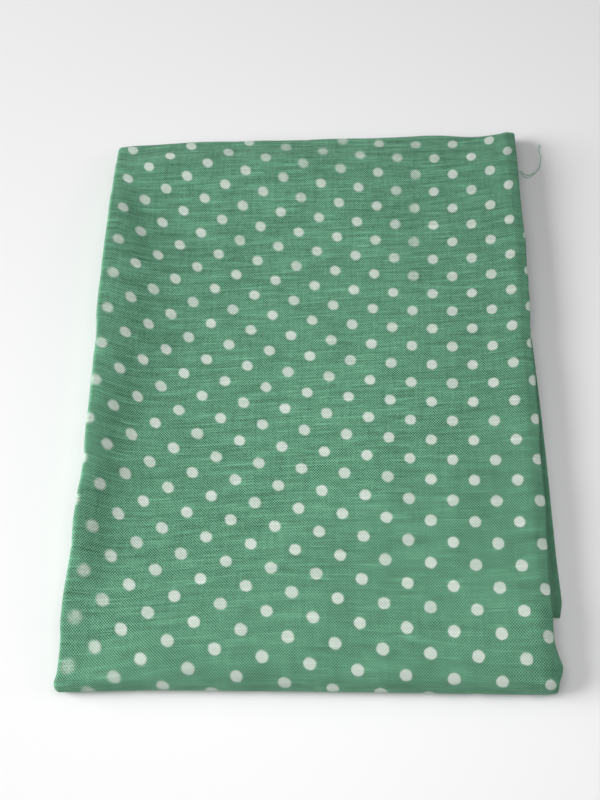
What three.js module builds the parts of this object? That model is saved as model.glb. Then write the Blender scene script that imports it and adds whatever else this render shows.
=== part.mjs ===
// Printed dress material: one length of light cotton, folded into a flat packet and laid down.
//
// Millimetres. +X is to the right, +Y is away from the near fold, +Z is up. The origin is on the
// surface that the packet lies on, under the middle of its outline.
//
// The cloth is a single sheet. Across its width it is folded in four, into a strip of four layers:
// a layer ends in a selvedge at the right, turns up round the roll at the left edge, comes back as
// the outermost layer, turns down at the sharp fold at the right, goes left again, turns in a small
// inner fold, and ends in the other selvedge. Along its length the strip is folded in three. The
// panel on top turns down round the near fold into the middle flap, and round the far fold into the
// bottom flap, which stops short of the near fold.

import * as THREE from "three";

// The packet, seen from above, before its edges wander.
const packetWidth = 280;
const packetLength = 380;

// The sheet, and the least air between two layers.
const sheet = 1.0;
const air = 0.3;
const layerPitch = sheet + air;
const stripLayers = 4;
const strip = stripLayers * layerPitch - air;

// How far the raw end of each lower flap stops short of a fold.
const bottomFlapShort = 44;
const middleFlapShort = 22;

// The stretch where the panel and the middle flap sag from the bottom flap down to the surface.
const sagStart = 41;
const sagEnd = 14;

// Folds in the strip's section, and how far the two selvedges lie inside the right edge.
const flatSpineDepth = 3.2;
const flatSpineReach = 11.2;
const innerFoldInset = 4.5;
const firstSelvedgeInset = 3;
const secondSelvedgeInset = 6;

// Steps round each turn.
const spineSteps = 6;
const smallFoldSteps = 4;
const nearFoldSteps = 6;
const farFoldSteps = 8;

// How far in from a fold the wandering of its edge dies out.
const edgeReach = 90;

// The top panel. A row is a place along it, counted from the middle of the packet towards the far
// fold. Columns: how far its left and right edges stand outside the packet's sides, how far the
// crest of the left roll and the bottom of the trough beside it lie from the left edge, how high
// the roll stands, how high the middle of the panel is crowned, and how high it swells at the far
// fold.
const panelRows = [
  { y: -185, left: -0.8, right: -1.6, crest: 4.5, trough: 12, roll: 0, crown: 0, swell: 0 },
  { y: -181, left: -0.9, right: -0.6, crest: 5.0, trough: 12, roll: 0.6, crown: 0.3, swell: 0 },
  { y: -176, left: -1.1, right: 1.9, crest: 5.5, trough: 12, roll: 0.9, crown: 0.6, swell: 0 },
  { y: -170, left: -1.1, right: -0.9, crest: 6.0, trough: 12, roll: 1.1, crown: 0.8, swell: 0 },
  { y: -163, left: -1.0, right: -1.9, crest: 6.0, trough: 12, roll: 1.3, crown: 1.0, swell: 0 },
  { y: -156, left: -0.8, right: -1.9, crest: 6.1, trough: 12, roll: 1.5, crown: 1.0, swell: 0 },
  { y: -149, left: -0.6, right: -1.9, crest: 6.3, trough: 14, roll: 1.9, crown: 1.1, swell: 0 },
  { y: -125, left: 0.1, right: -1.7, crest: 7.0, trough: 19, roll: 2.8, crown: 1.2, swell: 0 },
  { y: -95, left: -0.9, right: -1.3, crest: 6.5, trough: 20, roll: 3.2, crown: 1.3, swell: 0 },
  { y: -60, left: -1.3, right: -0.7, crest: 6.3, trough: 21, roll: 3.0, crown: 1.5, swell: 0 },
  { y: -25, left: -1.2, right: -0.6, crest: 6.0, trough: 25, roll: 3.2, crown: 1.5, swell: 0 },
  { y: 10, left: -0.9, right: -1.0, crest: 6.0, trough: 28, roll: 3.3, crown: 1.4, swell: 0 },
  { y: 45, left: 0, right: -1.1, crest: 6.3, trough: 29, roll: 3.3, crown: 1.2, swell: 0 },
  { y: 80, left: 0.9, right: 0, crest: 6.8, trough: 27, roll: 3.0, crown: 1.0, swell: 0 },
  { y: 110, left: 1.3, right: -0.6, crest: 6.4, trough: 23, roll: 2.6, crown: 1.0, swell: 0.4 },
  { y: 135, left: 1.5, right: -0.4, crest: 5.8, trough: 17, roll: 2.2, crown: 1.1, swell: 1.3 },
  { y: 158, left: 0.3, right: -0.1, crest: 5.0, trough: 13, roll: 1.5, crown: 0.9, swell: 2.3 },
  { y: 172, left: 0, right: 0.2, crest: 4.5, trough: 12, roll: 0.8, crown: 0.7, swell: 2.7 },
  { y: 182, left: -0.8, right: 0.3, crest: 4.5, trough: 12, roll: 0, crown: 0.5, swell: 2.6 },
];

// The middle flap and the bottom flap. Columns as above; neither has a roll, a crown or a swell.
const middleRows = [
  { y: -185, left: -0.8, right: -1.6 },
  { y: -100, left: -2.0, right: -2.6 },
  { y: 0, left: -1.8, right: -2.4 },
  { y: 100, left: -1.2, right: -2.2 },
  { y: 182, left: -1.6, right: -2.6 },
];
const bottomRows = [
  { y: 182, left: -0.8, right: 0.3 },
  { y: 110, left: 0.6, right: -0.8 },
  { y: 55, left: -0.8, right: 0.2 },
  { y: 20, left: -1.9, right: 1.5 },
  { y: -10, left: -2.6, right: 2.4 },
  { y: -60, left: -3.1, right: 2.9 },
  { y: -110, left: -3.6, right: 3.4 },
  { y: -140, left: -4.2, right: 4.3 },
];

// The near and far edges. A row is a place across the packet, as a share of its width from the
// left. Columns: how far each edge stands outside the packet's end, and how much of the crown and
// of the swell the panel has there.
const acrossRows = [
  { at: 0, near: -0.5, far: -3.0, crown: 0, swell: 0 },
  { at: 0.04, near: 1.0, far: -2.3, crown: 0, swell: 0.3 },
  { at: 0.2, near: -1.4, far: -2.0, crown: 0.9, swell: 1 },
  { at: 0.4, near: -0.7, far: -1.5, crown: 1, swell: 1 },
  { at: 0.6, near: -1.0, far: -0.6, crown: 0.9, swell: 0.8 },
  { at: 0.8, near: -0.8, far: 2.4, crown: 0.6, swell: 0.1 },
  { at: 0.9, near: -0.5, far: 0.2, crown: 0.4, swell: 0 },
  { at: 1, near: -0.3, far: 2.1, crown: 0, swell: 0 },
];

// The outermost layer has more steps across than the layers under it, and a few from the crest of
// the roll to the trough.
const troughSteps = [1 / 3, 2 / 3, 1];
const panelSteps = [0.14, 0.2, 0.3, 0.4, 0.5, 0.6, 0.7, 0.8, 0.9];
const innerSteps = [0.04, 0.2, 0.4, 0.6, 0.8, 0.9];

// Broad soft folds on the panel. Columns: the middle, half the length and half the width, the turn
// from +X in degrees, and the height.
const softFolds = [
  { x: -42, y: 8, half: 75, reach: 26, turn: 58, height: 0.9 },
  { x: 20, y: -128, half: 90, reach: 24, turn: 4, height: 0.5 },
  { x: -84, y: 84, half: 48, reach: 18, turn: 98, height: -0.8 },
];

const clothColour = "#4f9170";

// A table's column at a place, in straight lines between its rows.
function read(table, key, place, column) {
  const rising = table[table.length - 1][key] > table[0][key];
  const rows = rising ? table : [...table].reverse();
  const last = rows.length - 1;
  if (place <= rows[0][key]) return rows[0][column];
  if (place >= rows[last][key]) return rows[last][column];
  const next = rows.findIndex((row) => row[key] > place);
  const [low, high] = [rows[next - 1], rows[next]];
  const share = (place - low[key]) / (high[key] - low[key]);
  return THREE.MathUtils.lerp(low[column], high[column], share);
}

const nearFoldY = -packetLength / 2;
const farFoldY = packetLength / 2;

// The two folds along the length. The near one is tight, and the far one goes round the middle flap.
const nearFold = { inside: air / 2, z: strip + air / 2 };
nearFold.y = nearFoldY + nearFold.inside + strip;
const farFold = { inside: air + strip / 2, z: strip + air + strip / 2 };
farFold.y = farFoldY - farFold.inside - strip;

// The height of the panel's lower face: one strip up where it lies over the middle flap alone, and
// two strips up where the bottom flap is under them both.
function panelFloor(y) {
  const share = THREE.MathUtils.smoothstep(y, nearFoldY + sagEnd, nearFoldY + sagStart);
  return (strip + air) * (1 + share);
}

// The places along a flap that get a station: its two ends, its table's rows, and the steps of the
// sag, which the panel and the middle flap share.
function stops(rows, from, to) {
  const sagging = panelRows.filter((row) => row.y >= nearFoldY + sagEnd && row.y <= nearFoldY + sagStart);
  const all = new Set([...rows, ...sagging].map((row) => row.y));
  const inside = [...all].filter((y) => y > Math.min(from, to) && y < Math.max(from, to));
  return [from, ...inside.sort((a, b) => (a - b) * Math.sign(to - from)), to];
}

// A station is a place along the strip: where the strip's inner face is, the way its layers are
// stacked from there, and the row of the table that it takes its edges from.
function flapStations(rows, z, up, from, to) {
  return stops(rows, from, to).map((y) => ({
    y,
    z: z(y),
    stack: [0, up],
    left: read(rows, "y", y, "left"),
    right: read(rows, "y", y, "right"),
    crest: up > 0 ? read(rows, "y", y, "crest") : flatSpineDepth,
    trough: up > 0 ? read(rows, "y", y, "trough") : flatSpineReach,
    roll: up > 0 ? read(rows, "y", y, "roll") : 0,
    crown: up > 0 ? read(rows, "y", y, "crown") : 0,
    swell: up > 0 ? read(rows, "y", y, "swell") : 0,
  }));
}

// The stations round a fold, between the last station of one flap and the first of the next. What
// lifts the panel's outermost layer beside the fold dies out on the way round it.
function foldStations(fold, outward, startAngle, steps, before, after) {
  const list = [];
  for (let step = 1; step < steps; step += 1) {
    const share = step / steps;
    const angle = startAngle * (1 - 2 * share);
    const stack = [outward * Math.cos(angle), Math.sin(angle)];
    const mix = (column) => THREE.MathUtils.lerp(before[column], after[column], share);
    const fade = (column) => Math.max(before[column], after[column]) * (1 + stack[1]) / 2;
    list.push({
      y: fold.y + fold.inside * stack[0],
      z: fold.z + fold.inside * stack[1],
      stack,
      left: mix("left"),
      right: mix("right"),
      crest: mix("crest"),
      trough: mix("trough"),
      roll: fade("roll"),
      crown: fade("crown"),
      swell: fade("swell"),
    });
  }
  return list;
}

// All stations, from the raw end of the middle flap to the raw end of the bottom flap.
function stationsAlong() {
  const middleEnd = farFold.y - middleFlapShort;
  const bottomEnd = nearFoldY + bottomFlapShort;
  const middle = flapStations(middleRows, (y) => panelFloor(y) - air, -1, middleEnd, nearFold.y);
  const panel = flapStations(panelRows, panelFloor, 1, nearFold.y, farFold.y);
  const bottom = flapStations(bottomRows, () => strip, -1, farFold.y, bottomEnd);
  const near = foldStations(nearFold, -1, -Math.PI / 2, nearFoldSteps, middle.at(-1), panel[0]);
  const far = foldStations(farFold, 1, Math.PI / 2, farFoldSteps, panel.at(-1), bottom[0]);
  return [...middle, ...near, ...panel, ...far, ...bottom];
}

// How high the outermost layer is lifted off the layer below it: by the roll as far as the trough,
// and by the crown, the swell and the soft folds. On the lower flaps all of these are nothing.
function liftAt(station, x, left, right) {
  const share = (x - left) / (right - left);
  const fall = THREE.MathUtils.clamp((x - left - station.crest) / (station.trough - station.crest), 0, 1);
  let lift = station.roll * (0.5 + 0.5 * Math.cos(Math.PI * fall));
  lift += station.crown * read(acrossRows, "at", share, "crown");
  lift += station.swell * read(acrossRows, "at", share, "swell");
  for (const fold of softFolds) {
    const turn = THREE.MathUtils.degToRad(fold.turn);
    const [dx, dy] = [x - fold.x, station.y - fold.y];
    const along = (dx * Math.cos(turn) + dy * Math.sin(turn)) / fold.half;
    const aside = (dy * Math.cos(turn) - dx * Math.sin(turn)) / fold.reach;
    lift += fold.height * station.crown * Math.exp(-along * along - aside * aside);
  }
  return Math.max(lift, 0);
}

// The cloth's middle line across the strip, as points with the outer face's direction: x, the
// height over the strip's inner face, and the two parts of the direction.
function sectionAt(station) {
  const left = -packetWidth / 2 - station.left;
  const right = packetWidth / 2 + station.right;
  const atShare = (share) => THREE.MathUtils.lerp(left, right, share);
  const height = (layer) => sheet / 2 + layer * layerPitch;
  const points = [];
  const add = (x, h, nx, nh) => points.push({ x, h, nx, nh });

  // A turn between two heights: an ellipse whose points run from one angle to the opposite one.
  const turn = (x, low, high, reach, side, from, steps, outside) => {
    const middle = (low + high) / 2;
    const half = (high - low) / 2;
    for (let step = 0; step <= steps; step += 1) {
      const angle = from * (1 - (2 * step) / steps);
      const normal = new THREE.Vector2((side * Math.cos(angle)) / reach, Math.sin(angle) / half);
      normal.normalize().multiplyScalar(outside);
      add(x + side * reach * Math.cos(angle), middle + half * Math.sin(angle), normal.x, normal.y);
    }
  };

  // The lowest layer, from its selvedge to the left.
  add(right - firstSelvedgeInset, height(0), 0, -1);
  for (const share of [...innerSteps].reverse()) add(atShare(share), height(0), 0, -1);

  // The roll at the left edge, up to the crest of the outermost layer.
  const outer = height(stripLayers - 1);
  const crestX = left + station.crest;
  const outerAt = (x) => outer + liftAt(station, x, left, right);
  turn(crestX, height(0), outerAt(crestX), station.crest - sheet / 2, -1, -Math.PI / 2, spineSteps, 1);

  // The outermost layer: down from the roll into the trough, and over the crown.
  const troughX = left + station.trough;
  for (const share of troughSteps) {
    const x = THREE.MathUtils.lerp(crestX, troughX, share);
    add(x, outerAt(x), 0, 1);
  }
  for (const share of panelSteps) add(atShare(share), outerAt(atShare(share)), 0, 1);

  // The sharp fold at the right, and the layer under the outermost one.
  const small = layerPitch / 2;
  const foldX = right - sheet / 2 - small;
  turn(foldX, height(2), outer, small, 1, Math.PI / 2, smallFoldSteps, 1);
  for (const share of [...innerSteps].reverse()) add(atShare(share), height(2), 0, -1);

  // The inner fold at the left, and the last layer, out to its selvedge.
  turn(left + innerFoldInset + layerPitch, height(1), height(2), small, -1, Math.PI / 2, smallFoldSteps, -1);
  for (const share of innerSteps) add(atShare(share), height(1), 0, 1);
  add(right - secondSelvedgeInset, height(1), 0, 1);
  return { points, left, right };
}

// A section as a closed ring in space: up the outer face and back down the inner one.
function ringAt(station) {
  const { points, left, right } = sectionAt(station);
  const fade = (distance) => 1 - THREE.MathUtils.smoothstep(distance, 0, edgeReach);
  const near = fade(station.y - nearFoldY);
  const far = fade(farFoldY - station.y);
  const place = (point, face) => {
    const x = point.x + (point.nx * face * sheet) / 2;
    const h = point.h + (point.nh * face * sheet) / 2;
    const share = (x - left) / (right - left);
    const wander =
      far * read(acrossRows, "at", share, "far") - near * read(acrossRows, "at", share, "near");
    return new THREE.Vector3(x, station.y + h * station.stack[0] + wander, station.z + h * station.stack[1]);
  };
  const outer = points.map((point) => place(point, 1));
  const inner = points.map((point) => place(point, -1));
  return [...outer, ...inner.reverse()];
}

// The rings joined into one closed body, with its two raw ends.
function loft(rings) {
  const size = rings[0].length;
  const faces = [];
  for (let i = 0; i + 1 < rings.length; i += 1) {
    for (let j = 0; j < size; j += 1) {
      const [a, b] = [i * size + j, i * size + ((j + 1) % size)];
      const [c, d] = [a + size, b + size];
      faces.push(a, b, c, b, d, c);
    }
  }
  const last = (rings.length - 1) * size;
  for (let j = 0; j + 1 < size / 2; j += 1) {
    const [a, b, c, d] = [j, j + 1, size - 2 - j, size - 1 - j];
    faces.push(a, d, b, b, d, c);
    faces.push(last + a, last + b, last + d, last + b, last + c, last + d);
  }
  const geometry = new THREE.BufferGeometry();
  const places = rings.flat().flatMap((point) => point.toArray());
  geometry.setAttribute("position", new THREE.Float32BufferAttribute(places, 3));
  geometry.setIndex(faces);
  return geometry;
}

// The cloth, moved so that the middle of its outline is over the origin.
function makeCloth() {
  const geometry = loft(stationsAlong().map(ringAt));
  geometry.computeBoundingBox();
  const middle = geometry.boundingBox.getCenter(new THREE.Vector3());
  geometry.translate(-middle.x, -middle.y, -geometry.boundingBox.min.z);
  geometry.computeVertexNormals();
  const material = new THREE.MeshStandardMaterial({ color: clothColour, roughness: 0.95, metalness: 0 });
  const cloth = new THREE.Mesh(geometry, material);
  cloth.name = "cloth";
  return cloth;
}

const packet = new THREE.Group();
packet.add(makeCloth());

export default packet;
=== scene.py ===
import math

import bpy
import numpy as np
from mathutils import Matrix, Vector


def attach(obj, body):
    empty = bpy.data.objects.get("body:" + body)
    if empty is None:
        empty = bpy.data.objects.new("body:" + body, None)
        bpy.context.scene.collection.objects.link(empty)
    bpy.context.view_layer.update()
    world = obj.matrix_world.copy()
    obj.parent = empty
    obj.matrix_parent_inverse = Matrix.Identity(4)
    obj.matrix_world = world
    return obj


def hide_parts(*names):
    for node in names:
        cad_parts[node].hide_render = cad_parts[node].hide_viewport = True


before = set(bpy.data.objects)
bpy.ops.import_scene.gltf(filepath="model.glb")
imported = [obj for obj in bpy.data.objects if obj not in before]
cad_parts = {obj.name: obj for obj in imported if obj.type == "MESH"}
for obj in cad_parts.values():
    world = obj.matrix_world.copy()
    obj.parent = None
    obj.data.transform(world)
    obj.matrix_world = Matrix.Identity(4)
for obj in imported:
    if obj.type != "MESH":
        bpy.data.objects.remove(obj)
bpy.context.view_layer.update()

# Printed dress material: one length of light cotton, folded into a flat packet and laid down.
#
# The tables are in millimetres, counted from the middle of the packet before its edges wander, and
# the meshes are in metres. +X is to the right, +Y is away from the near fold, +Z is up. The folds
# are those of the solid: across its width the cloth is folded in four into a strip, and along its
# length the strip is folded in three, into a panel on top, a middle flap and a bottom flap.
MM = 0.001

# The frame's origin, under the middle of the outline once the edges wander.
CENTRE_X = 1.4
CENTRE_Y = 0.847

# The sides of the packet.
PACKET_WIDTH = 280.0
PACKET_LENGTH = 380.0

# The thickness of the folded strip, of the air between two lengths of it, and of the cloth.
STRIP = 4.9
AIR = 0.3
CLOTH = 0.45
STRIP_LAYERS = 4
LAYER_PITCH = (STRIP - CLOTH) / (STRIP_LAYERS - 1)

# How far the raw end of each lower flap stops short of a fold, and where the upper flaps sag.
BOTTOM_FLAP_SHORT = 44.0
MIDDLE_FLAP_SHORT = 22.0
SAG_START = 41.0
SAG_END = 14.0

# How far the panel sinks behind the raw end of the middle flap, and where that starts.
FAR_SINK = 2.5
SINK_START = 30.0

# Folds in the strip's section: the left fold where it lies flat, in the lower flaps, the inner fold and
# the sharp fold, and how far the two selvedges lie inside the right edge.
FLAT_SPINE_DEPTH = 3.2
FLAT_SPINE_REACH = 11.2
INNER_FOLD_INSET = 4.5
SHARP_FOLD_REACH = 2.4
FIRST_SELVEDGE_INSET = 4.0
SECOND_SELVEDGE_INSET = 7.0

# How far the panel's sharp fold droops, and how far inside the edge that starts.
DROOP = 1.2
DROOP_REACH = 6.0

# How far in from a fold the wandering of its edge dies out.
EDGE_REACH = 90.0

# The top panel. Columns: the place along it, how far the left and right edges stand outside the
# packet's sides, how far the crest of the roll and the steepest place of its flank lie from the left
# edge, how high the roll stands, how high the middle is crowned, the swell at the far fold, and the
# height of the shoulder over the near fold.
PANEL_ROWS = np.array([
    (-190, 2.6, 2.4, 2.8, 10.0, 0.0, 0.0, 0.0, 0.4),
    (-187, 0.6, 0.5, 2.8, 10.0, 0.0, 0.0, 0.0, 2.0),
    (-185, -0.9, 0.1, 2.8, 10.0, 0.0, 0.0, 0.0, 3.7),
    (-183, -1.5, 0.6, 2.8, 10.0, 0.1, 0.0, 0.0, 5.0),
    (-181, -2.0, 1.4, 2.8, 10.0, 0.2, 0.0, 0.0, 6.0),
    (-176.5, -2.3, 2.6, 2.8, 10.0, 0.3, 0.0, 0.0, 7.2),
    (-170, -2.4, 0.6, 2.8, 10.0, 0.6, 0.0, 0.0, 7.2),
    (-163, -2.3, -1.4, 2.8, 10.0, 0.9, 0.1, 0.0, 5.6),
    (-156, -2.2, -1.9, 2.8, 11.0, 1.2, 0.3, 0.0, 3.8),
    (-147, -2.8, -1.9, 2.8, 12.0, 1.7, 0.6, 0.0, 1.9),
    (-125, -3.3, -1.7, 2.8, 13.0, 3.8, 1.5, 0.0, 0.4),
    (-95, -4.4, -1.3, 2.8, 15.0, 7.2, 2.4, 0.0, 0.0),
    (-60, -5.9, -0.7, 2.8, 16.5, 8.8, 2.8, 0.0, 0.0),
    (-25, -5.2, -0.6, 2.8, 21.0, 8.9, 2.8, 0.0, 0.0),
    (10, -5.1, -1.0, 2.8, 25.0, 8.7, 2.6, 0.0, 0.0),
    (45, -3.6, -0.4, 2.8, 29.0, 8.3, 2.4, 0.0, 0.0),
    (80, -2.8, 0.6, 2.8, 28.0, 8.2, 2.1, 0.0, 0.0),
    (110, -2.5, 0.2, 2.8, 22.0, 7.2, 1.8, 0.5, 0.0),
    (135, -2.2, -0.4, 2.8, 16.0, 5.0, 1.5, 1.8, 0.0),
    (156, -3.2, -0.1, 2.8, 11.0, 1.7, 1.2, 3.3, 0.0),
    (166, -2.8, 0.1, 3.4, 10.0, 0.8, 1.0, 3.6, 0.0),
    (172, -2.5, 0.2, 3.2, 10.0, 0.4, 0.8, 3.2, 0.0),
    (178, -2.4, 0.3, 3.0, 10.0, 0.1, 0.4, 2.2, 0.0),
    (183, -2.2, 0.3, 3.0, 10.0, 0.0, 0.0, 1.2, 0.0),
])

# How much of the roll's height is lost before its flank is steepest.
ROLL_FALL = 0.45

# The middle flap and the bottom flap. Columns: the place, and the left and right edges.
MIDDLE_ROWS = np.array([
    (-185, -1.8, -1.6),
    (-100, -4.5, -2.6),
    (0, -5.2, -2.4),
    (100, -3.0, -2.2),
    (182, -2.6, -2.6),
])
BOTTOM_ROWS = np.array([
    (-146.2, -6.0, 4.4),
    (-145.2, -5.4, 5.6),
    (-143, -5.0, 6.1),
    (-140, -5.0, 6.2),
    (-110, -5.0, 5.2),
    (-60, -5.5, 4.6),
    (-10, -5.0, 3.4),
    (20, -4.5, 2.4),
    (55, -3.4, 1.0),
    (110, -2.6, -0.3),
    (182, -2.2, 0.3),
])

# The near and far edges. Columns: the place across the packet as a share of its width, how far the
# near and the far edge stand outside, and how much of the crown, swell and shoulder is there.
ACROSS_ROWS = np.array([
    (0.0, 1.4, -2.0, 0.0, 0.0, 0.0),
    (0.04, 1.2, -1.3, 0.0, 0.3, 0.15),
    (0.12, 0.4, -0.6, 0.0, 0.8, 0.6),
    (0.22, -0.4, 0.4, 0.05, 1.0, 0.95),
    (0.36, -0.4, 0.6, 0.2, 1.0, 1.0),
    (0.5, -0.5, 1.1, 0.55, 0.9, 1.0),
    (0.7, -0.4, 2.4, 1.0, 0.5, 0.95),
    (0.8, -0.2, 4.0, 0.85, 0.3, 0.9),
    (0.9, -0.2, 2.2, 0.55, 0.3, 0.85),
    (0.96, -0.1, 4.2, 0.45, 0.3, 0.8),
    (0.99, -0.2, 6.6, 0.25, 0.2, 0.5),
    (1.0, -0.2, 6.6, 0.1, 0.1, 0.3),
])

# Soft troughs and ridges on the panel. Columns: the middle, half the length and half the width, the
# turn from +X in degrees, and the height.
SOFT_FOLDS = np.array([
    (-42, 8, 75, 26, 58, 0.9),
    (20, -128, 90, 24, 4, 0.4),
    (66, -100, 70, 7, 92, -0.25),
    (40, -118, 46, 6, 3, -0.2),
    (20, 60, 60, 6, 2, -0.2),
    (60, -18, 30, 6, 10, -0.2),
])

# The uneven lie of loose cloth: low waves in every direction. The heights are those of one of the
# longest waves on the panel and in its side edges. The margins, as shares of the packet's width, are
# where the waves die out beside the edges. Each side edge follows the waves along a line of its own.
WAVE_SEED = 7
WAVE_COUNT = 40
WAVE_HEIGHT = 0.05
WAVE_SHORTEST = 14.0
WAVE_LONGEST = 60.0
WAVE_LEFT_MARGIN = 0.05
WAVE_RIGHT_MARGIN = 0.03
EDGE_WAVE_HEIGHT = 0.12
LEFT_EDGE_LINE = 50.0
RIGHT_EDGE_LINE = 90.0

# The print: round dots in diagonal rows, SPACING apart along a row.
SPACING = 25.7


def through(rows, column, places):
    """A smooth curve through a column of a table, without overshoot."""
    x, y = rows[:, 0], rows[:, column]
    gap = np.diff(x)
    slope = np.diff(y) / gap
    tangent = np.zeros_like(y)
    same_way = slope[:-1] * slope[1:] > 0
    first, second = 2 * gap[1:] + gap[:-1], gap[1:] + 2 * gap[:-1]
    with np.errstate(divide="ignore", invalid="ignore"):
        mean = (first + second) / (first / slope[:-1] + second / slope[1:])
    tangent[1:-1][same_way] = mean[same_way]
    places = np.clip(places, x[0], x[-1])
    k = np.clip(np.searchsorted(x, places, side="right") - 1, 0, len(gap) - 1)
    t = (places - x[k]) / gap[k]
    return (
        (1 + 2 * t) * (1 - t) ** 2 * y[k]
        + t * (1 - t) ** 2 * gap[k] * tangent[k]
        + t * t * (3 - 2 * t) * y[k + 1]
        + t * t * (t - 1) * gap[k] * tangent[k + 1]
    )


def smoothstep(x, low, high):
    t = np.clip((x - low) / (high - low), 0, 1)
    return t * t * (3 - 2 * t)


NEAR_Y = -PACKET_LENGTH / 2
FAR_Y = PACKET_LENGTH / 2
NEAR_INSIDE = AIR / 2
NEAR_FOLD_Y = NEAR_Y + NEAR_INSIDE + STRIP
NEAR_FOLD_Z = STRIP + AIR / 2
FAR_INSIDE = AIR + (STRIP - FAR_SINK) / 2
FAR_FOLD_Y = FAR_Y - FAR_INSIDE - STRIP
FAR_FOLD_Z = STRIP + FAR_INSIDE


def panel_floor(y):
    """The height of the panel's lower face."""
    sunk = FAR_SINK * smoothstep(y, FAR_Y - SINK_START, FAR_FOLD_Y)
    return (STRIP + AIR) * (1 + smoothstep(y, NEAR_Y + SAG_END, NEAR_Y + SAG_START)) - sunk


# Stations along the strip. Each is where the strip's inner face is, the way its layers are stacked
# from there, and its place in the tables.
PANEL_STEPS = 168
FLAP_STEPS = 14
BOTTOM_STEPS = 40
NEAR_STEPS = 14
FAR_STEPS = 14


def flap(rows, z, up, places):
    """The stations along one length of the strip, at places in its table."""
    one = np.ones_like(places)
    top = up > 0
    return {
        "y": places,
        "z": z(places),
        "out": 0 * one,
        "up": up * one,
        "left": through(rows, 1, places),
        "right": through(rows, 2, places),
        "crest": through(rows, 3, places) if top else FLAT_SPINE_DEPTH * one,
        "steepest": through(rows, 4, places) if top else FLAT_SPINE_REACH * one,
        "roll": through(rows, 5, places) if top else 0 * one,
        "crown": through(rows, 6, places) if top else 0 * one,
        "swell": through(rows, 7, places) if top else 0 * one,
        "shoulder": through(rows, 8, places) if top else 0 * one,
        "bulge": 0 * one,
        "panel": one if top else 0 * one,
    }


def turn(y, z, inside, outward, start, steps, bulge, before, after):
    """The stations round a fold, where the panel's relief dies out on the way down."""
    share = np.arange(1, steps) / steps
    angle = start * (1 - 2 * share)
    out, up = outward * np.cos(angle), np.sin(angle)
    fade = (1 + up) / 2
    made = {"y": y + inside * out, "z": z + inside * up, "out": out, "up": up, "bulge": bulge + 0 * up}
    for name in ("left", "right", "crest", "steepest"):
        made[name] = before[name][-1] + (after[name][0] - before[name][-1]) * share
    for name in ("roll", "crown", "swell", "panel"):
        made[name] = max(before[name][-1], after[name][0]) * fade
    made["shoulder"] = through(PANEL_ROWS, 8, y + (inside + STRIP) * out) * fade
    return made


def stations():
    """All stations, from the raw end of the middle flap to that of the bottom flap."""
    middle_end = FAR_FOLD_Y - MIDDLE_FLAP_SHORT
    bottom_end = NEAR_Y + BOTTOM_FLAP_SHORT
    sag = NEAR_Y + SAG_START
    before_sag = np.linspace(middle_end, sag, FLAP_STEPS)[:-1]
    middle_places = np.append(before_sag, np.linspace(sag, NEAR_FOLD_Y, FLAP_STEPS))
    panel_places = np.linspace(NEAR_FOLD_Y, FAR_FOLD_Y, PANEL_STEPS)
    bottom_places = np.linspace(FAR_FOLD_Y, bottom_end, BOTTOM_STEPS)
    middle = flap(MIDDLE_ROWS, lambda y: panel_floor(y) - AIR, -1, middle_places)
    panel = flap(PANEL_ROWS, panel_floor, 1, panel_places)
    bottom = flap(BOTTOM_ROWS, lambda y: STRIP + 0 * y, -1, bottom_places)
    near = turn(NEAR_FOLD_Y, NEAR_FOLD_Z, NEAR_INSIDE, -1, -math.pi / 2, NEAR_STEPS, 0, middle, panel)
    far = turn(FAR_FOLD_Y, FAR_FOLD_Z, FAR_INSIDE, 1, math.pi / 2, FAR_STEPS, 1, panel, bottom)
    parts = (middle, near, panel, far, bottom)
    return {name: np.concatenate([part[name] for part in parts])[:, None] for name in panel}


def waves(x, y):
    """Waves of seeded length, direction and phase, added up. The longest of them are 1 high."""
    rng = np.random.default_rng(WAVE_SEED)
    length = rng.uniform(WAVE_SHORTEST, WAVE_LONGEST, WAVE_COUNT)
    way = rng.uniform(0, math.pi, WAVE_COUNT)
    phase = rng.uniform(0, 2 * math.pi, WAVE_COUNT)
    total = np.zeros(np.broadcast(x, y).shape)
    for k in range(WAVE_COUNT):
        along = x * math.cos(way[k]) + y * math.sin(way[k])
        total += length[k] / WAVE_LONGEST * np.cos(2 * math.pi * along / length[k] + phase[k])
    return total


def lift(s, x, left, right):
    """How high the outermost layer is lifted off the layer below it."""
    share = (x - left) / (right - left)
    past = (x - left) / s["steepest"]
    tail = (1 - ROLL_FALL) * np.exp(2 * ROLL_FALL / (1 - ROLL_FALL) * (1 - np.maximum(past, 1)))
    height = s["roll"] * np.where(past < 1, 1 - ROLL_FALL * past**2, tail)
    for name, column in (("crown", 3), ("swell", 4), ("shoulder", 5)):
        height = height + s[name] * through(ACROSS_ROWS, column, share)
    for fold_x, fold_y, half, reach, way, rise in SOFT_FOLDS:
        cosine, sine = math.cos(math.radians(way)), math.sin(math.radians(way))
        along = ((x - fold_x) * cosine + (s["y"] - fold_y) * sine) / half
        aside = ((s["y"] - fold_y) * cosine - (x - fold_x) * sine) / reach
        height = height + rise * s["panel"] * np.exp(-along * along - aside * aside)
    inside = smoothstep(share, 0, WAVE_LEFT_MARGIN) * smoothstep(1 - share, 0, WAVE_RIGHT_MARGIN)
    height = height + WAVE_HEIGHT * waves(x, s["y"]) * inside * s["panel"]
    return np.maximum(height, 0)


# Steps across each layer, and round each turn in the section.
OUTER_STEPS = 104
INNER_STEPS = 14
SPINE_STEPS = 14
CREST_STEPS = 12
SMALL_STEPS = 8


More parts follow.
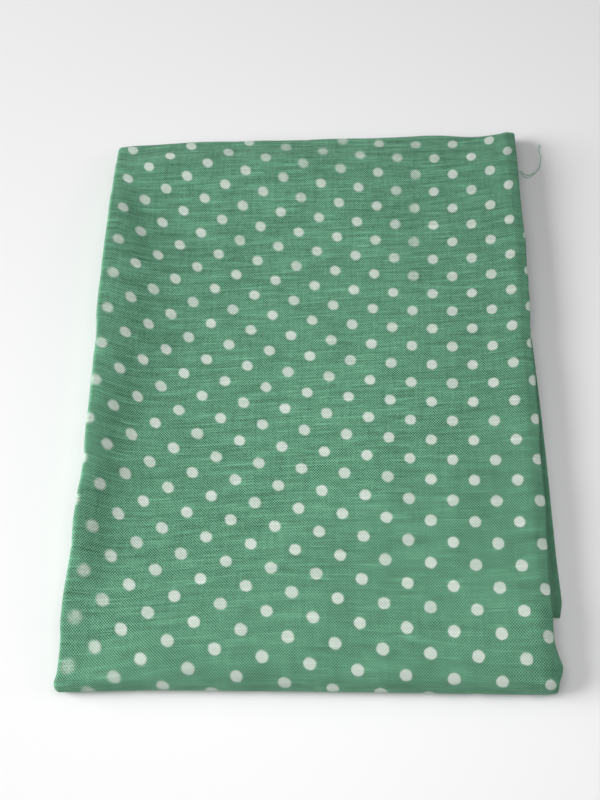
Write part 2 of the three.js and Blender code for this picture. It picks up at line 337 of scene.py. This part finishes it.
def section(s):
    """The cloth's middle across the strip, at every station: x, height over the inner face, and lift.

    The strip's left and right edges at every station come with them.
    """
    left_waves = EDGE_WAVE_HEIGHT * waves(s["y"], LEFT_EDGE_LINE) * s["panel"]
    right_waves = EDGE_WAVE_HEIGHT * waves(s["y"], RIGHT_EDGE_LINE) * s["panel"]
    left = -PACKET_WIDTH / 2 - s["left"] + left_waves
    right = PACKET_WIDTH / 2 + s["right"] + right_waves
    outer = CLOTH / 2 + (STRIP_LAYERS - 1) * LAYER_PITCH
    small = LAYER_PITCH / 2
    xs, hs, lifts = [], [], []

    def add(x, h, lifted=0):
        xs.append(x + 0 * left)
        hs.append(h + 0 * left)
        lifts.append(lifted + 0 * left)

    def bend(x, low, high, lifted, reach, side, start, steps):
        middle, half = (low + high) / 2, (high - low) / 2
        for angle in np.linspace(start, -start, steps + 1):
            share = (1 + math.sin(angle)) / 2
            add(x + side * reach * math.cos(angle), middle + half * math.sin(angle), lifted * share)

    def height(layer):
        return CLOTH / 2 + layer * LAYER_PITCH

    def lifted_at(x):
        return lift(s, x, left, right)

    def droop(x):
        return DROOP * s["panel"] * smoothstep(x, right - DROOP_REACH, right - SHARP_FOLD_REACH / 2)

    crest_x = left + s["crest"]
    steepest_x = left + s["steepest"]
    fold_x = right - CLOTH / 2 - SHARP_FOLD_REACH
    inner_x = left + INNER_FOLD_INSET + small

    # The lowest layer, the roll, the outermost layer, and the two layers between them.
    for share in np.linspace(0, 1, INNER_STEPS, endpoint=False):
        add(right - FIRST_SELVEDGE_INSET + (crest_x - right + FIRST_SELVEDGE_INSET) * share, height(0))
    spine_reach = s["crest"] - CLOTH / 2
    bend(crest_x, height(0), outer, lifted_at(crest_x), spine_reach, -1, -math.pi / 2, SPINE_STEPS)
    for share in np.arange(1, CREST_STEPS + 1) / CREST_STEPS:
        x = crest_x + (steepest_x - crest_x) * share
        add(x, outer, lifted_at(x))
    for share in np.arange(1, OUTER_STEPS) / OUTER_STEPS:
        x = steepest_x + (fold_x - steepest_x) * share
        add(x, outer - droop(x), lifted_at(x))
    low, high = height(2) - droop(fold_x), outer - droop(fold_x)
    bend(fold_x, low, high, lifted_at(fold_x), SHARP_FOLD_REACH, 1, math.pi / 2, SMALL_STEPS)
    for share in np.linspace(0, 1, INNER_STEPS)[1:] ** 2:
        x = fold_x + (inner_x - fold_x) * share
        add(x, height(2) - droop(x))
    bend(inner_x, height(1), height(2), 0, small, -1, math.pi / 2, SMALL_STEPS)
    for share in np.arange(1, INNER_STEPS + 1) / INNER_STEPS:
        add(inner_x + (right - SECOND_SELVEDGE_INSET - inner_x) * share, height(1))
    return np.concatenate(xs, 1), np.concatenate(hs, 1), np.concatenate(lifts, 1), left, right


def middle_surface():
    """The middle of the sheet as a grid of points, stations down and columns across."""
    s = stations()
    x, h, lifted, left, right = section(s)
    share = np.clip((x - left) / (right - left), 0, 1)
    near = 1 - smoothstep(s["y"] - NEAR_Y, 0, EDGE_REACH)
    far = 1 - smoothstep(FAR_Y - s["y"], 0, EDGE_REACH)
    wander = far * through(ACROSS_ROWS, 2, share) - near * through(ACROSS_ROWS, 1, share)
    y = s["y"] + (h + s["bulge"] * lifted) * s["out"] + wander
    z = s["z"] + h * s["up"] + lifted * (1 + s["bulge"] * (s["up"] - 1))
    return np.stack([x, y, z], 2)


def arc_places(points):
    """Each point's place on the flat cloth: how far it is from the panel's middle along the cloth.

    Beyond the panel all layers count the outer layer's length, so the print runs straight round the
    flaps' side folds.
    """
    rows, columns = points.shape[:2]
    across = np.zeros((rows, columns))
    across[:, 1:] = np.cumsum(np.linalg.norm(np.diff(points, axis=1), axis=2), 1)
    outer_start = INNER_STEPS + SPINE_STEPS + 1 + CREST_STEPS
    middle_column = outer_start + OUTER_STEPS // 2
    panel_start = 2 * FLAP_STEPS - 1 + NEAR_STEPS - 1
    middle_row = panel_start + PANEL_STEPS // 2
    far_start = panel_start + PANEL_STEPS
    lengths = np.linalg.norm(np.diff(points, axis=0), axis=2)
    lengths[:panel_start] = lengths[:panel_start, [middle_column]]
    lengths[far_start:] = lengths[far_start:, [middle_column]]
    along = np.zeros((rows, columns))
    along[1:] = np.cumsum(lengths, 0)
    across += (points[:, middle_column, 0] - across[:, middle_column])[:, None]
    along += (points[middle_row, :, 1] - along[middle_row])[None, :]
    return across, along


# Where the print lies on the flat cloth. Its rows lean and bow a little, and turn up beside the roll
# and down beside the sharp fold. U counts dots to the right and V counts rows towards the near fold.
# Each is a low curve in A and B, the place across and along as a share of half the packet: a factor
# for each pair of powers, and for V also for the turns at the left and right edges. The factors aren't
# chosen by hand: they are a least-squares fit to the places of the dots in the photograph, made by a
# program. Beyond the limits of A and B the print runs straight on.
PRINT_POWERS = ((0, 0), (1, 0), (0, 1), (2, 0), (1, 1), (0, 2), (3, 0), (2, 1), (1, 2), (0, 3))
PRINT_U = (-0.005, 5.470, -0.343, 0.130, 0.058, 0.045, -0.042, 0.031, -0.140, 0.008)
PRINT_V = (-1.425, -0.783, -7.417, 0.383, -0.223, 0.218, 0.320, 0.093, -0.102, 0.198)
LEFT_TURN = (0.451, -0.078, -0.282)
RIGHT_TURN = (-0.064, 0.341)
LEFT_TURN_REACH = 0.3
RIGHT_TURN_REACH = 0.3
PRINT_A_LIMITS = (-1.06, 1.04)
PRINT_B_LIMITS = (-1.04, 1.02)

# How far the print on the bottom flap lies to the right of the panel's, in millimetres, and where
# behind the far fold the slip starts and is whole.
FLAP_SLIP = 5.0
SLIP_START = STRIP
SLIP_END = 4 * STRIP


def curve(factors, powers, a, b):
    """A low curve in A and B, with a factor for each pair of powers."""
    return sum(k * a**i * b**j for k, (i, j) in zip(factors, powers))


def curve_along(factors, b):
    """A low curve in B alone, with a factor for each power."""
    return sum(k * b**j for j, k in enumerate(factors))


def print_places(across, along):
    """U and V at places on the flat cloth."""
    a = np.clip(across / (PACKET_WIDTH / 2), *PRINT_A_LIMITS)
    b = np.clip(along / (PACKET_LENGTH / 2), *PRINT_B_LIMITS)
    u = curve(PRINT_U, PRINT_POWERS, a, b)
    v = curve(PRINT_V, PRINT_POWERS, a, b)
    v = v + np.exp(-(((a + 1) / LEFT_TURN_REACH) ** 2)) * curve_along(LEFT_TURN, b)
    v = v + np.exp((a - 1) / RIGHT_TURN_REACH) * curve_along(RIGHT_TURN, b)
    u = u + (across - a * PACKET_WIDTH / 2) / SPACING
    u = u - FLAP_SLIP / SPACING * smoothstep(along, FAR_Y + SLIP_START, FAR_Y + SLIP_END)
    v = v - (along - b * PACKET_LENGTH / 2) / SPACING
    return u, v


# How the weft wanders from straight across, in millimetres along the cloth: a factor for each pair of
# powers of A and B, and for the turn at the roll. These too are a program's fit, to the slope of the
# weave in the photograph. It wanders no further beyond the limits of A and B.
WEFT_POWERS = ((1, 0), (2, 0), (1, 1), (3, 0), (2, 1), (1, 2))
WEFT_WANDER = (-7.2, 7.3, 1.3, -11.4, -7.1, 10.2)
WEFT_LEFT_TURN = (-31.7, 4.5, 23.9)
WEFT_TURN_REACH = 0.2
WEFT_A_LIMITS = (-0.93, 0.95)
WEFT_B_LIMITS = (-1, 1)


def weave_places(across, along):
    """The place on the flat cloth counted along the weft and along the warp, in millimetres."""
    a = np.clip(across / (PACKET_WIDTH / 2), *WEFT_A_LIMITS)
    b = np.clip(along / (PACKET_LENGTH / 2), *WEFT_B_LIMITS)
    wander = curve(WEFT_WANDER, WEFT_POWERS, a, b)
    turned = np.exp(-(a + 1) / WEFT_TURN_REACH) * curve_along(WEFT_LEFT_TURN, b)
    return across, along + wander + turned


# Where the print is faint. Columns: the middle across and along, the reach across and along, and how
# faint it is there.
FAINT_PATCHES = np.array([
    (-20, -20, 110, 200, 0.15),
    (-150, 0, 28, 260, 0.5),
    (-152, 0, 14, 400, 0.5),
    (-130, -160, 22, 70, 0.4),
    (66, 125, 11, 75, 0.4),
    (8, 188, 54, 32, 0.6),
    (-10, 110, 90, 70, 0.15),
    (-100, -190, 60, 16, 0.3),
])

# Where the weave stands out least, worn or pressed smooth. Columns: the same.
WORN_PATCHES = np.array([
    (0, 210, 400, 80, 0.3),
    (-150, 60, 30, 110, 0.2),
])


def patchiness(patches, across, along):
    """How much of a table's soft patches lies at each place, from 0 to 1."""
    total = np.zeros_like(across)
    for x, y, reach_x, reach_y, amount in patches:
        total += amount * np.exp(-(((across - x) / reach_x) ** 2) - ((along - y) / reach_y) ** 2)
    return np.clip(total, 0, 1)


def cloth_faces():
    """The sheet as points and faces: its middle thickened to both sides and closed at its edges."""
    middle = middle_surface()
    rows, columns = middle.shape[:2]
    normal = np.cross(np.gradient(middle, axis=1), np.gradient(middle, axis=0))
    normal /= np.linalg.norm(normal, axis=2, keepdims=True)
    points = np.concatenate([middle + normal * CLOTH / 2, middle - normal * CLOTH / 2])
    points = (points.reshape(-1, 3) - (CENTRE_X, CENTRE_Y, 0)) * MM
    grid = np.arange(rows * columns).reshape(rows, columns)
    under = grid + rows * columns

    def strip(first, second):
        return np.stack([first[:-1], first[1:], second[1:], second[:-1]], 1)

    front = np.stack([grid[:-1, :-1], grid[:-1, 1:], grid[1:, 1:], grid[1:, :-1]], 2).reshape(-1, 4)
    back = np.stack([under[:-1, :-1], under[1:, :-1], under[1:, 1:], under[:-1, 1:]], 2).reshape(-1, 4)
    edges = [
        strip(grid[0, ::-1], under[0, ::-1]),
        strip(grid[-1], under[-1]),
        strip(grid[:, 0], under[:, 0]),
        strip(grid[::-1, -1], under[::-1, -1]),
    ]
    return middle, points, np.concatenate([front, back, *edges])


def mesh_object(name, points, faces, material):
    mesh = bpy.data.meshes.new(name)
    mesh.from_pydata(points.tolist(), [], faces)
    mesh.materials.append(material)
    piece = bpy.data.objects.new(name, mesh)
    bpy.context.scene.collection.objects.link(piece)
    return piece


class Tree:
    """A material's nodes. A call adds a node and gives back one of its outputs."""

    def __init__(self, name):
        self.material = bpy.data.materials.new(name)
        self.material.use_nodes = True
        self.nodes = self.material.node_tree.nodes
        self.links = self.material.node_tree.links
        self.nodes.clear()

    def add(self, kind, inputs=(), output=0, **settings):
        node = self.nodes.new(kind)
        for key, value in settings.items():
            setattr(node, key, value)
        for key, value in dict(inputs).items():
            socket = node.inputs[key]
            if isinstance(value, bpy.types.NodeSocket):
                self.links.new(value, socket)
            else:
                socket.default_value = value
        return node.outputs[output]

    def math(self, operation, *values, clamp=False):
        inputs = dict(enumerate(values))
        return self.add("ShaderNodeMath", inputs, operation=operation, use_clamp=clamp)

    def vector(self, operation, *values, output=0):
        inputs = dict(enumerate(values))
        return self.add("ShaderNodeVectorMath", inputs, output, operation=operation)

    def parts(self, vector):
        """The first two parts of a vector."""
        self.add("ShaderNodeSeparateXYZ", {0: vector})
        return self.nodes[-1].outputs[0], self.nodes[-1].outputs[1]

    def ramp(self, value, low, high, start=0.0, end=1.0, smooth=True):
        inputs = {"Value": value, "From Min": low, "From Max": high, "To Min": start, "To Max": end}
        kind = "SMOOTHSTEP" if smooth else "LINEAR"
        return self.add("ShaderNodeMapRange", inputs, interpolation_type=kind, clamp=True)

    def noise(self, place, size, detail, shift):
        """Noise on the flat cloth, from 0 to 1, with patches of a size across and along."""
        scaled = self.vector("MULTIPLY", place, (1 / size[0], 1 / size[1], 1.0))
        moved = self.vector("ADD", scaled, (shift, -shift, shift))
        return self.add("ShaderNodeTexNoise", {"Vector": moved, "Scale": 1.0, "Detail": detail})

    def mix(self, factor, first, second):
        return self.add("ShaderNodeMix", {0: factor, 6: first, 7: second}, 2, data_type="RGBA")

    def finish(self, shader):
        output = self.nodes.new("ShaderNodeOutputMaterial")
        self.links.new(shader, output.inputs["Surface"])


# How rough the floor and the threads are.
PLAIN_ROUGHNESS = 0.9

# Colours, as linear light: the green of the cloth at its middle tone, its darkest and its lightest, and
# the ink where the cloth is lightest and darkest, at a tone of INK_TONE either way.
GREEN = (0.095, 0.254, 0.158, 1)
DEEP_GREEN = (0.0126, 0.058, 0.0255, 1)
LIGHT_GREEN = (0.181, 0.465, 0.297, 1)
INK_WHITE = (0.75, 0.79, 0.73, 1)
INK_SHADE = (0.36, 0.46, 0.39, 1)
INK_TONE = 1.2

# The dots, in millimetres: the radius and how much it varies, and how soft and how ragged the rim is,
# with more softness where the print is faint.
DOT_RADIUS = 3.42
DOT_VARIES = 0.25
DOT_EDGE = 0.42
DOT_RAGGED = 0.5
FAINT_SOFTENS = 1.8

# The share of the ink that is lost by chance from dot to dot, and where the print is faint, and how
# much less or more of it is lost from crossing to crossing, over which range of the speckle.
CHANCE_LOSS = 0.16
FAINT_LOSS = 0.55
PATCHY_LOSS = (0.7, 1.3)
PATCHY_SPECKLE = (0.3, 0.7)

# The middle of every noise and chance value.
MIDDLE = 0.5

# The weave, in millimetres: the distance from yarn to yarn, how long a yarn stays lighter or darker, and
# how far the noise moves on from one yarn to the next.
WARP_PITCH = 0.78
WEFT_PITCH = 0.83
YARN_PATCH = 12
YARN_STEP = 1.37

# How much the crossings, the yarns and the speckle lighten the cloth, and how far the weft has to be on
# top or below for a crossing's full tone.
WEAVE_TONE = 1.02
YARN_TONE = 1.2
SPECKLE_TONE = 0.4
CROSSING_FULL = 0.5

# Bands along the weft, wide bands, bands along the warp, and clouds. Columns: the size across and along,
# the detail and the place in the noise, and how much they lighten the cloth.
BANDS = (
    (22, 1.5, 1, 11.7, 1.2),
    (60, 5, 2, 71.9, 0.6),
    (1.8, 40, 1, 23.9, 0.5),
    (46, 34, 2, 31.3, 0.35),
)

# Slubs, where a weft yarn is thick for a stretch, and thin places. Each: the size across and along, the
# place in the noise, the noise at which it starts and is whole, and how much it lightens the cloth.
SLUB = (24, 0.85, 47.1, 0.62, 0.78, 0.9)
THIN_PLACE = (18, 0.9, 83.7, 0.64, 0.80, -0.3)

# The surface: how much a slub and a crossing stand up beside a yarn, how high that is in millimetres,
# the roughness of dark and of light cloth, and the faint shine and sheen of cotton.
SLUB_RISE = 0.5
CROSSING_RISE = 0.5
BUMP_HEIGHT = 0.12
BUMP_STRENGTH = 0.5
ROUGHNESS = (0.95, 0.82)
SPECULAR = 0.25
SHEEN = 0.18
SHEEN_ROUGHNESS = 0.45
SHEEN_TINT = (0.75, 1.0, 0.86, 1)


def nearest_dot(t):
    """How far away the nearest dot's middle is, in millimetres, and a chance value for that dot.

    The diagonal rows are two square nets of dots, the second half a step across and along.
    """
    lattice = t.add("ShaderNodeUVMap", uv_map="print")
    half = (0.5, 0.5, 0)
    first = t.vector("FLOOR", t.vector("ADD", lattice, half))
    second = t.vector("ADD", t.vector("FLOOR", lattice), half)
    first_away = t.vector("DISTANCE", lattice, first, output=1)
    second_away = t.vector("DISTANCE", lattice, second, output=1)
    nearer = t.math("LESS_THAN", first_away, second_away)
    away = t.math("MULTIPLY", t.math("MINIMUM", first_away, second_away), SPACING)
    dot = t.add("ShaderNodeMix", {0: nearer, 4: second, 5: first}, 1, data_type="VECTOR")
    chance = t.add("ShaderNodeTexWhiteNoise", {"Vector": dot}, noise_dimensions="3D")
    return away, chance


def plain_weave(t, place):
    """How far the weft is on top, from -1 to 1, and how light the upper yarn and each crossing are."""
    column, row = t.parts(t.vector("DIVIDE", place, (WARP_PITCH, WEFT_PITCH, 1)))
    warp_number, weft_number = t.math("FLOOR", column), t.math("FLOOR", row)
    half_waves = [t.math("SINE", t.math("MULTIPLY", x, math.pi)) for x in (column, row)]
    weft_on_top = t.math("MULTIPLY", *half_waves)
    along_weft = t.math("MULTIPLY", column, WARP_PITCH / YARN_PATCH)
    along_warp = t.math("MULTIPLY", row, WEFT_PITCH / YARN_PATCH)
    this_weft = t.math("MULTIPLY", weft_number, YARN_STEP)
    this_warp = t.math("MULTIPLY", warp_number, YARN_STEP)
    weft_seat = t.add("ShaderNodeCombineXYZ", {0: along_weft, 1: this_weft})
    warp_seat = t.add("ShaderNodeCombineXYZ", {0: this_warp, 1: along_warp})
    weft = t.add("ShaderNodeTexNoise", {"Vector": weft_seat, "Scale": 1.0, "Detail": 1.0})
    warp = t.add("ShaderNodeTexNoise", {"Vector": warp_seat, "Scale": 1.0, "Detail": 1.0})
    yarn = t.add("ShaderNodeMix", {0: t.ramp(weft_on_top, -1, 1, smooth=False), 2: warp, 3: weft})
    crossing = t.add("ShaderNodeCombineXYZ", {0: warp_number, 1: weft_number})
    speckle = t.add("ShaderNodeTexWhiteNoise", {"Vector": crossing}, noise_dimensions="2D")
    return weft_on_top, yarn, speckle


def stretches(t, place, kind):
    """Where a yarn is thick or thin for a stretch, from 0 to 1."""
    across, along, shift, start, whole, _ = kind
    return t.ramp(t.noise(place, (across, along), 0, shift), start, whole)


def cloth_tone(t, place, weft_on_top, yarn, speckle, slub):
    """How light the cloth is at a place, about nothing on average."""
    worn = t.add("ShaderNodeAttribute", output=2, attribute_name="worn")
    crossings = t.ramp(weft_on_top, -CROSSING_FULL, CROSSING_FULL, -WEAVE_TONE, WEAVE_TONE)
    tone = t.math("MULTIPLY", crossings, t.math("SUBTRACT", 1.0, worn))
    parts = [(yarn, MIDDLE, YARN_TONE), (speckle, MIDDLE, SPECKLE_TONE)]
    for across, along, detail, shift, lightens in BANDS:
        parts.append((t.noise(place, (across, along), detail, shift), MIDDLE, lightens))
    parts.append((slub, 0.0, SLUB[-1]))
    parts.append((stretches(t, place, THIN_PLACE), 0.0, THIN_PLACE[-1]))
    for part, middle, lightens in parts:
        tone = t.math("MULTIPLY_ADD", t.math("SUBTRACT", part, middle), lightens, tone)
    return tone


def ink_cover(t, speckle):
    """How much of the cloth the ink covers: ragged at the rim, and thinner where the print is faint."""
    away, chance = nearest_dot(t)
    faint = t.add("ShaderNodeAttribute", output=2, attribute_name="faint")
    ragged = t.math("MULTIPLY_ADD", t.math("SUBTRACT", speckle, MIDDLE), DOT_RAGGED, away)
    radius = t.math("MULTIPLY_ADD", t.math("SUBTRACT", chance, MIDDLE), DOT_VARIES, DOT_RADIUS)
    softness = t.math("MULTIPLY_ADD", faint, FAINT_SOFTENS, DOT_EDGE)
    cover = t.ramp(t.math("DIVIDE", t.math("SUBTRACT", radius, ragged), softness), -1, 1)
    faint_loss = t.math("MULTIPLY", faint, FAINT_LOSS)
    loss = t.math("MULTIPLY_ADD", t.math("MULTIPLY", chance, chance), CHANCE_LOSS, faint_loss)
    patchy = t.math("MULTIPLY", loss, t.ramp(speckle, *PATCHY_SPECKLE, *PATCHY_LOSS))
    return t.math("MULTIPLY", cover, t.math("SUBTRACT", 1.0, patchy, clamp=True))


def cotton():
    """Plain-weave cotton, green with pale dots, in the flat cloth's own places."""
    t = Tree("printed_cotton")
    place = t.add("ShaderNodeUVMap", uv_map="weave")
    weft_on_top, yarn, speckle = plain_weave(t, place)
    slub = stretches(t, place, SLUB)
    tone = cloth_tone(t, place, weft_on_top, yarn, speckle, slub)
    ground = t.mix(t.ramp(tone, 0, 1, smooth=False), GREEN, LIGHT_GREEN)
    ground = t.mix(t.ramp(tone, 0, -1, smooth=False), ground, DEEP_GREEN)
    inked = t.mix(t.ramp(tone, -INK_TONE, INK_TONE), INK_SHADE, INK_WHITE)
    colour = t.mix(ink_cover(t, speckle), ground, inked)

    crossings = t.math("MULTIPLY_ADD", weft_on_top, CROSSING_RISE, yarn)
    height = t.math("MULTIPLY_ADD", slub, SLUB_RISE, crossings)
    inputs = {"Strength": BUMP_STRENGTH, "Distance": BUMP_HEIGHT * MM, "Height": height}
    bump = t.add("ShaderNodeBump", inputs)
    inputs = {"Base Color": colour, "Roughness": t.ramp(tone, -1, 1, *ROUGHNESS), "Normal": bump}
    shader = t.add("ShaderNodeBsdfPrincipled", inputs)
    principled = t.nodes[-1]
    principled.inputs["Specular IOR Level"].default_value = SPECULAR
    principled.inputs["Sheen Weight"].default_value = SHEEN
    principled.inputs["Sheen Roughness"].default_value = SHEEN_ROUGHNESS
    principled.inputs["Sheen Tint"].default_value = SHEEN_TINT
    t.finish(shader)
    return t.material


def plain(name, colour):
    t = Tree(name)
    t.finish(t.add("ShaderNodeBsdfPrincipled", {"Base Color": colour, "Roughness": PLAIN_ROUGHNESS}))
    return t.material


def build_cloth():
    middle, points, faces = cloth_faces()
    piece = mesh_object("printed_cloth", points, faces.tolist(), cotton())
    mesh = piece.data
    across, along = arc_places(middle)
    u, v = print_places(across, along)
    corners = np.empty(len(mesh.loops), dtype=np.int32)
    mesh.loops.foreach_get("vertex_index", corners)
    for name, (first, second) in {"print": (u, v), "weave": weave_places(across, along)}.items():
        both = np.tile(np.stack([first.ravel(), second.ravel()], 1), (2, 1))
        mesh.uv_layers.new(name=name).data.foreach_set("uv", both[corners].ravel())
    for name, patches in {"faint": FAINT_PATCHES, "worn": WORN_PATCHES}.items():
        amount = np.tile(patchiness(patches, across, along).ravel(), 2)
        mesh.attributes.new(name, "FLOAT", "POINT").data.foreach_set("value", amount)
    mesh.polygons.foreach_set("use_smooth", np.ones(len(mesh.polygons), dtype=bool))
    mesh.update()
    return piece


# Two threads frayed from the raw end of the middle flap. They come out at the right edge and lie on the
# floor. Columns: the step along the thread, and x, y and z.
LONG_THREAD = np.array([
    (0, 134.6, 161.4, 6.9),
    (1, 140.8, 162.6, 6.6),
    (2, 143.9, 163.2, 4.2),
    (3, 146.4, 162.8, 1.1),
    (4, 150.0, 163.6, 0.4),
    (5, 154.6, 167.4, 0.9),
    (6, 157.6, 173.0, 0.4),
    (7, 158.2, 180.5, 1.3),
    (8, 157.6, 186.0, 0.6),
    (9, 158.9, 191.5, 0.4),
])
SHORT_THREAD = np.array([
    (0, 135.8, 161.4, 6.8),
    (1, 140.6, 163.4, 6.9),
    (2, 143.6, 164.9, 4.6),
    (3, 146.3, 165.2, 1.4),
    (4, 149.6, 165.0, 0.4),
    (5, 153.0, 167.2, 0.4),
])
THREAD_RADIUS = 0.2
THREAD_STEPS = 72
THREAD_SIDES = 6


def thread_faces(rows, first):
    """A thin tube through a table of places, closed at both ends. Its points are numbered from first."""
    steps = np.linspace(rows[0, 0], rows[-1, 0], THREAD_STEPS)
    path = np.stack([through(rows, column, steps) for column in (1, 2, 3)], 1)
    ahead = np.gradient(path, axis=0)
    ahead /= np.linalg.norm(ahead, axis=1, keepdims=True)
    aside = np.cross(ahead, (0, 0, 1))
    aside /= np.linalg.norm(aside, axis=1, keepdims=True)
    over = np.cross(aside, ahead)
    angle = 2 * math.pi * np.arange(THREAD_SIDES)[:, None] / THREAD_SIDES
    ring = path[:, None] + THREAD_RADIUS * (aside[:, None] * np.cos(angle) + over[:, None] * np.sin(angle))
    grid = first + np.arange(THREAD_STEPS * THREAD_SIDES).reshape(THREAD_STEPS, THREAD_SIDES)
    turned = np.roll(grid, -1, 1)
    sides = np.stack([grid[:-1], grid[1:], turned[1:], turned[:-1]], 2).reshape(-1, 4)
    return ring.reshape(-1, 3), sides.tolist() + [grid[0].tolist(), grid[-1, ::-1].tolist()]


def build_threads():
    points, faces = [], []
    for rows in (LONG_THREAD, SHORT_THREAD):
        ring, made = thread_faces(rows, len(points))
        points += ring.tolist()
        faces += made
    points = (np.array(points) - (CENTRE_X, CENTRE_Y, 0)) * MM
    return mesh_object("loose_threads", points, faces, plain("thread", LIGHT_GREEN))


cloth = build_cloth()
threads = build_threads()
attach(cloth, "root")
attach(threads, "root")
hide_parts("cloth")

# The floor, the light and the camera.
FLOOR_SIZE = 6.0
FLOOR_COLOUR = (0.86, 0.86, 0.86, 1)
corner = FLOOR_SIZE / 2
square = np.array([(-corner, -corner, 0), (corner, -corner, 0), (corner, corner, 0), (-corner, corner, 0)])
floor = mesh_object("floor", square, [(0, 1, 2, 3)], plain("pale_floor", FLOOR_COLOUR))

AIR_LIGHT = 0.22
world = bpy.data.worlds.new("studio")
bpy.context.scene.world = world
world.use_nodes = True
world.node_tree.nodes["Background"].inputs["Color"].default_value = (1, 1, 1, 1)
world.node_tree.nodes["Background"].inputs["Strength"].default_value = AIR_LIGHT

# The lamps, in metres and watts. Columns: the name, the place, what it points at, the size and the power.
LAMPS = (
    ("key", (-3.0, 0, 1.2), (0, 0, 0), 2.2, 162),
    ("top", (0, -0.15, 0.46), (0, -0.15, 0), 0.4, 0.82),
    ("fill", (2.0, 0, 0.9), (0, 0, 0), 1.5, 9),
)


def area_light(name, place, target, size, power):
    light = bpy.data.lights.new(name, "AREA")
    light.shape = "DISK"
    light.size = size
    light.energy = power
    lamp = bpy.data.objects.new(name, light)
    lamp.location = place
    lamp.rotation_euler = (Vector(target) - Vector(place)).to_track_quat("-Z", "Y").to_euler()
    bpy.context.scene.collection.objects.link(lamp)


for lamp_row in LAMPS:
    area_light(*lamp_row)

# The camera stands at the near side, a little to the right, and looks down at the packet. Its angles
# are in degrees, and its sizes and places in millimetres. Apart from the sensor and the clip they are
# a program's fit to the packet in the photograph.
CAMERA_AZIMUTH = 6.829
CAMERA_ELEVATION = 63.532
CAMERA_ROLL = -6.301
CAMERA_DISTANCE = 686.321
CAMERA_TARGET = (-5.701 - CENTRE_X, -7.71 - CENTRE_Y, 0)
CAMERA_LENS = 49.05
CAMERA_SENSOR = 36
CAMERA_CLIP = 10


def camera():
    azimuth, elevation, roll = (math.radians(x) for x in (CAMERA_AZIMUTH, CAMERA_ELEVATION, CAMERA_ROLL))
    ahead = math.cos(elevation)
    forward = Vector((-math.sin(azimuth) * ahead, math.cos(azimuth) * ahead, -math.sin(elevation)))
    level = Vector((math.cos(azimuth), math.sin(azimuth), 0))
    upright = level.cross(forward)
    right = math.cos(roll) * level + math.sin(roll) * upright
    up = math.cos(roll) * upright - math.sin(roll) * level
    data = bpy.data.cameras.new("camera")
    data.sensor_width = CAMERA_SENSOR
    data.lens = CAMERA_LENS
    data.clip_start = CAMERA_CLIP * MM
    eye = (Vector(CAMERA_TARGET) - CAMERA_DISTANCE * forward) * MM
    seen = bpy.data.objects.new("camera", data)
    seen.matrix_world = Matrix((
        (right.x, up.x, -forward.x, eye.x),
        (right.y, up.y, -forward.y, eye.y),
        (right.z, up.z, -forward.z, eye.z),
        (0, 0, 0, 1),
    ))
    bpy.context.scene.collection.objects.link(seen)
    bpy.context.scene.camera = seen


camera()
bpy.context.scene.view_settings.view_transform = "Standard"
